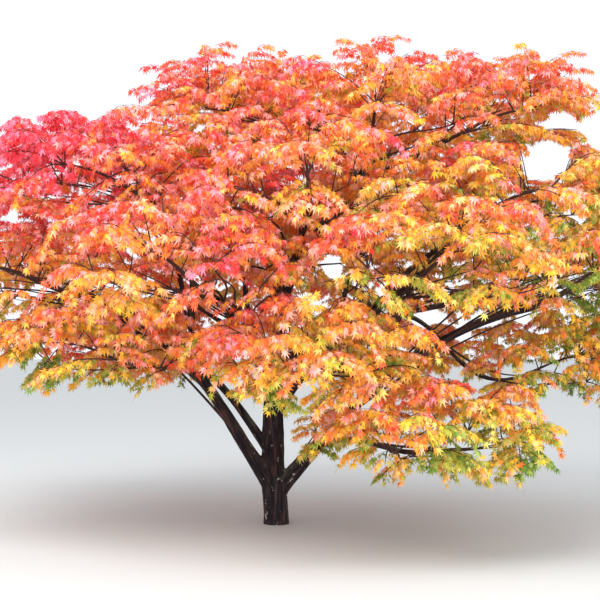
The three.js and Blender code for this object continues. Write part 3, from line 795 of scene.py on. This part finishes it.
def autumn(points, pad):
    """How far the leaves at the points have turned: 0 is green and 1 is crimson.

    The upper left has turned first, then the tops. The undersides and the shaded middle are the
    greenest.
    """
    x, _, z = points.T
    height = np.clip(pad.inside(points)[:, 2], -1, 1)
    inside = 1 - eased((crown_depth(points) - INSIDE_FROM) / INSIDE_RUN)
    left = eased((LEFT_FROM - x) / LEFT_RUN) * eased((z - UPPER_FROM) / UPPER_RUN)
    below = eased((BELOW_FROM - z) / BELOW_RUN)
    places = sum(
        redder * np.exp(-(((points - place) / sizes) ** 2).sum(axis=1))
        for place, sizes, redder in PLACES
    )
    return (
        MIDDLING
        + REDDER_LEFT * left
        - GREENER_RIGHT * x
        + REDDER_TOPS * np.clip((z - TOPS_FROM) / TOPS_RUN, -1, 1)
        + REDDER_UP * height
        - GREENER_INSIDE * inside
        - GREENER_BELOW * below
        + places
        + PATCHES * noise_at(points, PATCH_FINENESS)
        + FINE_PATCHES * noise_at(points, FINE_PATCH_FINENESS)
    )


def leaves_of(pad, sprays, draw):
    """The leaves of a pad's sprays: opposite pairs and one at the tip, with how each has turned."""
    at, aim, turned_to, edges = [], [], [], []
    middles = np.concatenate([spray.points([SPRAY_MIDDLE]) for spray in sprays])
    tints = autumn(middles, pad) + draw.uniform(-SPRAY_NOISE, SPRAY_NOISE, len(sprays))
    for spray, tint in zip(sprays, tints):
        nodes = max(2, round(spray.length / LEAF_SPACING))
        shares = (np.arange(nodes) + 1) / nodes
        points, ways = spray.points(shares), spray.directions(shares)
        forward = ways * LEAF_FORWARD
        sideways = unit(np.cross(ways, UP)) * LEAF_SIDEWAYS
        at += [points, points, points[-1:]]
        aim += [forward - sideways, forward + sideways, ways[-1:]]
        turned_to.append(np.full(2 * nodes + 1, tint))
        edges.append(np.full(2 * nodes + 1, spray.edge))
    at, aim = np.concatenate(at), np.concatenate(aim)
    turned_to, edges = np.concatenate(turned_to), np.concatenate(edges)
    count = len(at)
    aim = aim - UP * draw.uniform(*LEAF_DROOP, (count, 1))
    aim = unit(aim + draw.normal(0, LEAF_TURNS, (count, 3)))
    across = unit(np.cross(aim, UP + draw.normal(0, LEAF_ROLLS, (count, 3))))
    face = np.cross(across, aim)
    sizes = LEAF_LENGTH * draw.uniform(*LEAF_SIZES, count)
    tips = at + aim * sizes[:, None] * (STALK + LEAF_TIP)
    shaded = (pad.depth(tips) < BARE_INSIDE) & (pad.inside(tips)[:, 2] < 0)
    kept = owns(pad, tips, edges) & (~shaded | (draw.random(count) < INSIDE_SHARE))
    return at[kept], aim[kept], face[kept], sizes[kept], turned_to[kept]


def plain_material(name, colour, roughness, specular):
    material = bpy.data.materials.new(name)
    material.use_nodes = True
    shader = material.node_tree.nodes["Principled BSDF"]
    shader.inputs["Base Color"].default_value = (*colour, 1)
    shader.inputs["Roughness"].default_value = roughness
    shader.inputs["Specular IOR Level"].default_value = specular
    return material


def only(piece):
    """Leaves the piece as the one that is selected and worked on."""
    bpy.ops.object.select_all(action="DESELECT")
    piece.select_set(True)
    bpy.context.view_layer.objects.active = piece


def joined(pieces, name):
    only(pieces[0])
    for piece in pieces[1:]:
        piece.select_set(True)
    bpy.ops.object.join()
    bpy.context.object.name = name
    return bpy.context.object


def round_limb(name, points, radii):
    """A closed round limb: a curve through the points, with its bevel drawn to the radii."""
    bpy.ops.curve.primitive_nurbs_path_add(location=(0, 0, 0))
    limb = bpy.context.object
    limb.name = name
    curve = limb.data
    curve.splines.clear()
    spline = curve.splines.new("POLY")
    spline.points.add(len(points) - 1)
    for place, at, radius in zip(spline.points, points, radii):
        place.co = (*at, 1)
        place.radius = radius
    curve.dimensions = "3D"
    curve.bevel_depth = 1
    curve.bevel_resolution = 4
    curve.use_fill_caps = True
    only(limb)
    bpy.ops.object.convert(target="MESH")
    return bpy.context.object


def trunk_core():
    """The trunk: a disc below the ground that is drawn up ring by ring, thinner and leaning."""
    bpy.ops.mesh.primitive_circle_add(
        vertices=TRUNK_SIDES, radius=trunk_radius(0), fill_type="NGON", location=(0, 0, -UNDER_CUT)
    )
    core = bpy.context.object
    bpy.ops.object.mode_set(mode="EDIT")
    bpy.ops.mesh.select_all(action="SELECT")
    bpy.ops.mesh.extrude_region_move(TRANSFORM_OT_translate={"value": (0, 0, UNDER_CUT)})
    rings = round(TRUNK_TOP / TRUNK_RING_HEIGHT)
    heights = np.linspace(0, TRUNK_TOP, rings + 1)
    for low, high in zip(heights[:-1], heights[1:]):
        step = trunk_centre(high) - trunk_centre(low)
        bpy.ops.mesh.extrude_region_move(TRANSFORM_OT_translate={"value": tuple(step)})
        thinner = trunk_radius(high) / trunk_radius(low)
        middle = tuple(trunk_centre(high))
        bpy.ops.transform.resize(value=(thinner, thinner, 1), center_override=middle)
    bpy.ops.object.mode_set(mode="OBJECT")
    bpy.ops.object.transform_apply(location=True)
    return core


def root_shoulders():
    """Ribs that run down the foot of the trunk and out into the ground."""
    ribs = []
    shares = np.linspace(0, 1, ROOT_RINGS)
    for i, azimuth in enumerate(ROOT_AZIMUTHS):
        out = direction(azimuth, 0)
        top = trunk_centre(ROOT_TOP) + out * (trunk_radius(ROOT_TOP) - ROOT_RADII[0])
        end = out * ROOT_REACH - UP * UNDER_CUT
        rib = Limb(top, -UP, end, unit(out - UP * ROOT_STEEPNESS), *ROOT_RADII)
        radii = rib.radii(shares) * between(ROOT_WIDENING, shares)
        ribs.append(round_limb(f"root_{i}", rib.points(shares), radii))
    return ribs


def collar(limb, shares):
    """How much thicker a bough is near its foot."""
    away = np.asarray(shares) * limb.length()
    return 1 + COLLAR * np.exp(-away / (COLLAR_LENGTH * limb.ends[0]))


def off_the_trunk(name):
    """Whether the bough to the pad of this name leaves the trunk."""
    return PADS[name].tier == "middle" or name == LEADER_PAD


def crotch(name, limb):
    """The foot of a low bough, to grow together with the trunk. It ends in the bough's own skin."""
    shares = np.linspace(0, CROTCH_SHARE, CROTCH_RINGS)
    left = (CROTCH_SHARE - shares) / CROTCH_SHARE
    narrowing = np.minimum(1, left * CROTCH_WIDENING + CROTCH_END)
    radii = limb.radii(shares) * collar(limb, shares) * narrowing
    return round_limb(name, limb.points(shares), radii)


class Wood:
    """All limbs as points along their middles, to tell where on the wood a point of the bark is."""

    def __init__(self, limbs):
        shares = np.linspace(0, 1, WOOD_STEPS)
        run = []
        for i, limb in enumerate(limbs):
            steps = np.linalg.norm(np.diff(limb.points(shares), axis=0), axis=1)
            run.append(np.concatenate(([0], np.cumsum(steps))) + GRAIN_SHIFT * i)
        self.run = np.concatenate(run)
        self.middles = np.concatenate([limb.points(shares) for limb in limbs])
        self.radii = np.concatenate([limb.radii(shares) for limb in limbs])
        self.alongs = np.concatenate([limb.tangents(shares) for limb in limbs])
        upright = np.where(np.abs(self.alongs[:, 2:]) > STEEP_LIMB, LEVEL, UP)
        self.across = unit(np.cross(self.alongs, upright))
        self.over = np.cross(self.across, self.alongs)

    def place(self, points):
        """Each point's place across, over and along its limb, and the limb's radius there."""
        nearest = np.empty(len(points), int)
        for first in range(0, len(points), POINTS_AT_ONCE):
            some = slice(first, first + POINTS_AT_ONCE)
            away = np.linalg.norm(points[some, None] - self.middles[None], axis=2) - self.radii
            nearest[some] = away.argmin(axis=1)
        offset = points - self.middles[nearest]
        across = (offset * self.across[nearest]).sum(axis=1)
        over = (offset * self.over[nearest]).sum(axis=1)
        along = self.run[nearest] + (offset * self.alongs[nearest]).sum(axis=1)
        return np.stack((across, over, along), axis=1), self.radii[nearest]


def along_grain(grain, squeeze, fineness, shift):
    return noise_at(grain * (1, 1, squeeze), fineness, shift)


def vertex_values(mesh, kind):
    values = np.empty(len(mesh.vertices) * 3)
    mesh.vertices.foreach_get(kind, values)
    return values.reshape(-1, 3)


def grow_bark(piece, wood):
    """Presses the bark's relief into the piece and notes where on the wood each point is.

    It also notes how far each point faces the sky and how near the foot of the tree it is.
    """
    mesh = piece.data
    points, normals = vertex_values(mesh, "co"), vertex_values(mesh, "normal")
    grain, radii = wood.place(points)
    swelling = along_grain(grain, *SWELLS) + FLUTED * along_grain(grain, *FLUTES)
    furrows = np.abs(along_grain(grain, *FURROWS))
    depth = np.minimum(FURROW, radii * FURROW_SHARE)
    rise = radii * SWELL * swelling - depth * (1 - RIDGE * furrows)
    rise *= np.clip(points[:, 2] / EVEN_FOOT, 0, 1)
    placed = points + normals * rise[:, None]
    mesh.vertices.foreach_set("co", placed.ravel())
    place = mesh.attributes.new("grain", "FLOAT_VECTOR", "POINT")
    place.data.foreach_set("vector", grain.ravel())
    lit = np.clip(normals[:, 2], -1, 1)
    foot = 1 - np.clip(points[:, 2] / FOOT_HEIGHT, 0, 1)
    for name, values in (("lit", lit), ("foot", foot)):
        mesh.attributes.new(name, "FLOAT", "POINT").data.foreach_set("value", values)
    mesh.update()


def dress_trunk(boughs, wood, material):
    """The trunk, the roots' shoulders and the feet of the low boughs, grown into one skin."""
    low = {name: bough for name, bough in boughs.items() if off_the_trunk(name)}
    feet = [crotch(f"crotch_{name}", bough) for name, bough in low.items()]
    trunk = joined([trunk_core(), *root_shoulders(), *feet], "bark_trunk")
    trunk.data.remesh_voxel_size = TRUNK_MESH
    bpy.ops.object.voxel_remesh()
    smooth = trunk.modifiers.new("smooth", "SMOOTH")
    smooth.factor = 0.5
    smooth.iterations = SMOOTHINGS
    bpy.ops.object.modifier_apply(modifier="smooth")
    bpy.ops.object.mode_set(mode="EDIT")
    bpy.ops.mesh.select_all(action="SELECT")
    ground, up = (0, 0, 0), (0, 0, 1)
    bpy.ops.mesh.bisect(plane_co=ground, plane_no=up, use_fill=True, clear_inner=True)
    bpy.ops.object.mode_set(mode="OBJECT")
    grow_bark(trunk, wood)
    finish_bark(trunk, material, ["trunk"])


def dress_boughs(boughs, wood, material):
    """Every bough from its foot, inside its parent's wood, to its pad."""
    limbs = []
    for name, bough in boughs.items():
        grown_in = off_the_trunk(name)
        first = CROTCH_SHARE * OWN_SKIN_SHARE if grown_in else 0
        rings = round(bough.length() * (1 - first) / BOUGH_RING)
        shares = np.linspace(first, 1, rings)
        radii = bough.radii(shares) * collar(bough, shares)
        if grown_in:
            passed = (shares - first) / (CROTCH_SHARE - first)
            radii *= np.minimum(1, OWN_SKIN_START + passed * OWN_SKIN_WIDENING)
        limbs.append(round_limb(f"limb_{name}", bough.points(shares), radii))
    bark = joined(limbs, "bark_boughs")
    grow_bark(bark, wood)
    finish_bark(bark, material, [f"bough_{name}" for name in boughs])


def finish_bark(piece, material, nodes):
    piece.data.materials.clear()
    piece.data.materials.append(material)
    only(piece)
    bpy.ops.object.shade_smooth()
    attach(piece, "root")
    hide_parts(*nodes)


def bark_material():
    """Nearly black bark with brown streaks along the grain, lichen at the foot and grey-green tops.
    """
    material = plain_material("maple_bark", (0.05, 0.03, 0.03), roughness=0.85, specular=0.2)
    nodes, links = material.node_tree.nodes, material.node_tree.links

    def add(kind, inputs, **settings):
        """A node that takes in other nodes' outputs and set values."""
        node = nodes.new(kind)
        for key, value in settings.items():
            setattr(node, key, value)
        for key, value in inputs.items():
            if isinstance(value, bpy.types.NodeSocket):
                links.new(value, node.inputs[key])
            else:
                node.inputs[key].default_value = value
        return node

    def noted(name, kind="Fac"):
        """What grow_bark has noted for each point."""
        return add("ShaderNodeAttribute", {}, attribute_name=name).outputs[kind]

    def ramp(source, stops):
        node = add("ShaderNodeValToRGB", {"Fac": source})
        elements = node.color_ramp.elements
        for place, _ in stops[1:-1]:
            elements.new(place)
        for element, (place, colour) in zip(elements, stops):
            element.position = place
            element.color = (*colour, 1)
        return node.outputs["Color"]

    def band(source, low, high):
        return ramp(source, [(low, (0, 0, 0)), (high, (1, 1, 1))])

    def mix(share, under, over):
        # The node's sockets for colours come after those for numbers and vectors
        inputs = {"Factor": share, 6: under, 7: (*over, 1)}
        return add("ShaderNodeMix", inputs, data_type="RGBA").outputs[2]

    def streaks(scale, squeeze, detail=3.0):
        drawn = add("ShaderNodeMapping", {"Scale": (1, 1, squeeze), "Vector": grain})
        inputs = {"Scale": scale, "Detail": detail, "Vector": drawn.outputs["Vector"]}
        return add("ShaderNodeTexNoise", inputs).outputs["Fac"]

    def product(first, second):
        return add("ShaderNodeMath", {0: first, 1: second}, operation="MULTIPLY").outputs[0]

    grain = noted("grain", "Vector")
    dark, middling, light = (0.006, 0.005, 0.007), (0.02, 0.014, 0.017), (0.085, 0.052, 0.046)
    colour = ramp(streaks(55, 0.1), [(0.3, dark), (0.52, middling), (0.75, light)])
    rust = product(band(streaks(34, 0.12, 4.0), 0.5, 0.72), band(streaks(7, 0.5), 0.42, 0.62))
    colour = mix(rust, colour, (0.15, 0.062, 0.045))
    # Lighter grey-green in patches, more where the bark faces the sky
    sky_facing_patches = product(band(noted("lit"), 0.15, 0.8), band(streaks(14, 0.6), 0.42, 0.62))
    colour = mix(sky_facing_patches, colour, (0.16, 0.17, 0.12))
    lichen = product(band(streaks(22, 0.8, 2.5), 0.66, 0.7), band(noted("foot"), 0.3, 0.8))
    colour = mix(lichen, colour, (0.42, 0.42, 0.38))
    relief = {"Strength": 0.7, "Distance": 0.004, "Height": streaks(85, 0.16, 5.0)}
    bump = add("ShaderNodeBump", relief)
    shader = nodes["Principled BSDF"]
    links.new(colour, shader.inputs["Base Color"])
    links.new(bump.outputs["Normal"], shader.inputs["Normal"])
    return material


def leaf_materials():
    """The full tints and then the pale ones, whose lighter pink is a painted highlight."""
    colours = [(f"leaf_{name}", full) for name, (full, _) in TINTS_AND_HIGHLIGHTS.items()]
    colours += [(f"leaf_{name}_pale", pale) for name, (_, pale) in TINTS_AND_HIGHLIGHTS.items()]
    return [plain_material(*colour, roughness=0.5, specular=0.22) for colour in colours]


def twig_materials():
    return [
        plain_material("twig_wood", (0.055, 0.028, 0.024), roughness=0.75, specular=0.25),
        plain_material("twig_young", (0.16, 0.045, 0.03), roughness=0.6, specular=0.35),
    ]


def finishes_of_leaves(turned_to, draw):
    """Each leaf's material: the tint it has turned to, full or pale with a painted highlight."""
    steps = len(TINTS_AND_HIGHLIGHTS)
    place = turned_to + draw.normal(0, LEAF_NOISE, len(turned_to))
    tint = np.clip(np.floor(place * steps), 0, steps - 1).astype(int)
    # A pale tint is a painted highlight, given to leaves at random
    pale = draw.random(len(turned_to)) < PAINTED_HIGHLIGHT_SHARE
    return tint + steps * pale


def sprays_in(pad, shoots, draw):
    """The shoots' sprays that keep to the pad's space."""
    sprays = [spray for shoot in shoots for spray in sprays_of(shoot, draw)]
    points = np.concatenate([spray.points([SPRAY_INSIDE]) for spray in sprays])
    edges = np.array([spray.edge for spray in sprays])
    return [spray for spray, mine in zip(sprays, owns(pad, points, edges)) if mine]


def spray_tubes(sprays):
    paths = np.array([spray.points(SPRAY_SHARES) for spray in sprays])
    radii = SPRAY_RADIUS * (1 - SPRAY_TAPER * SPRAY_SHARES)
    return twig_tubes(paths, np.broadcast_to(radii, paths.shape[:2]), SPRAY_SIDES)


def dress_mass(pad, bough, index, leaf_finishes, twig_finishes):
    """A pad's stem, shoots, sprays and leaves, in place of its solid."""
    draw = np.random.default_rng(SEED + index)
    stem = stem_of(pad, bough)
    side_limbs = [] if pad.small else side_limbs_of(pad, bough, draw)
    starts = [stem.points(STEM_STARTS), *(limb.points(SIDE_LIMB_STARTS) for limb in side_limbs)]
    shoots = shoots_of(pad, np.concatenate(starts), draw)
    sprays = sprays_in(pad, shoots, draw)

    twigs = Parts()
    twigs.add(*limb_tubes([stem], *STEM_MESH), OLD_WOOD)
    if side_limbs:
        twigs.add(*limb_tubes(side_limbs, *SIDE_LIMB_MESH), OLD_WOOD)
    twigs.add(*limb_tubes(shoots, *SHOOT_MESH), OLD_WOOD)
    twigs.add(*spray_tubes(sprays), YOUNG_WOOD)
    twig_piece = twigs.piece(f"twigs_{pad.name}", twig_finishes)

    at, aim, face, sizes, turned_to = leaves_of(pad, sprays, draw)
    finishes = finishes_of_leaves(turned_to, draw)
    droops = draw.uniform(*LOBE_HANGS, len(at))
    five = draw.random(len(at)) < FIVE_LOBED
    leaves = Parts()
    for shape, chosen in ((FIVE_LOBES, five), (SEVEN_LOBES, ~five)):
        corners, triangles = place_leaves(
            shape, at[chosen], aim[chosen], face[chosen], sizes[chosen], droops[chosen]
        )
        leaves.add(corners, triangles.tolist(), np.repeat(finishes[chosen], len(shape[1])))
    leaf_piece = leaves.piece(f"leaves_{pad.name}", leaf_finishes)

    node = f"foliage_{pad.name}"
    for piece in (twig_piece, leaf_piece):
        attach(piece, "root")
        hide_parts(node)


def add_camera():
    turn = (math.radians(90 + CAMERA_RISE), 0, 0)
    bpy.ops.object.camera_add(location=VIEWER, rotation=turn)
    camera = bpy.context.object
    camera.data.lens = LENS
    camera.data.clip_end = 200
    bpy.context.scene.camera = camera


def add_studio():
    """A pale floor, a pale sky all round and two large soft lights."""
    bpy.ops.mesh.primitive_plane_add(size=120, location=(0, 0, 0))
    floor = bpy.context.object
    floor.name = "floor"
    paint = plain_material("pale_floor", (0.62, 0.62, 0.6), roughness=0.9, specular=0.1)
    floor.data.materials.append(paint)
    world = bpy.data.worlds.new("studio")
    world.use_nodes = True
    sky = world.node_tree.nodes["Background"]
    sky.inputs["Color"].default_value = (*SKY, 1)
    sky.inputs["Strength"].default_value = SKY_STRENGTH
    bpy.context.scene.world = world
    for place, faced, size, power in LIGHTS:
        bpy.ops.object.light_add(type="AREA", location=place)
        light = bpy.context.object
        light.data.size = size
        light.data.energy = power
        towards = Vector(faced) - light.location
        light.rotation_euler = towards.to_track_quat("-Z", "Y").to_euler()


bpy.ops.object.select_all(action="DESELECT")
bpy.context.scene.view_settings.view_transform = "Standard"
add_camera()
add_studio()
boughs = grow_boughs()
leaf_finishes = leaf_materials()
twig_finishes = twig_materials()
trunk = Limb(trunk_centre(0), UP, trunk_centre(TRUNK_TOP), UP, *TRUNK_RADII)
wood = Wood([trunk, *boughs.values()])
bark = bark_material()
dress_trunk(boughs, wood, bark)
dress_boughs(boughs, wood, bark)
for index, (name, bough) in enumerate(boughs.items()):
    dress_mass(PADS[name], bough, index, leaf_finishes, twig_finishes)
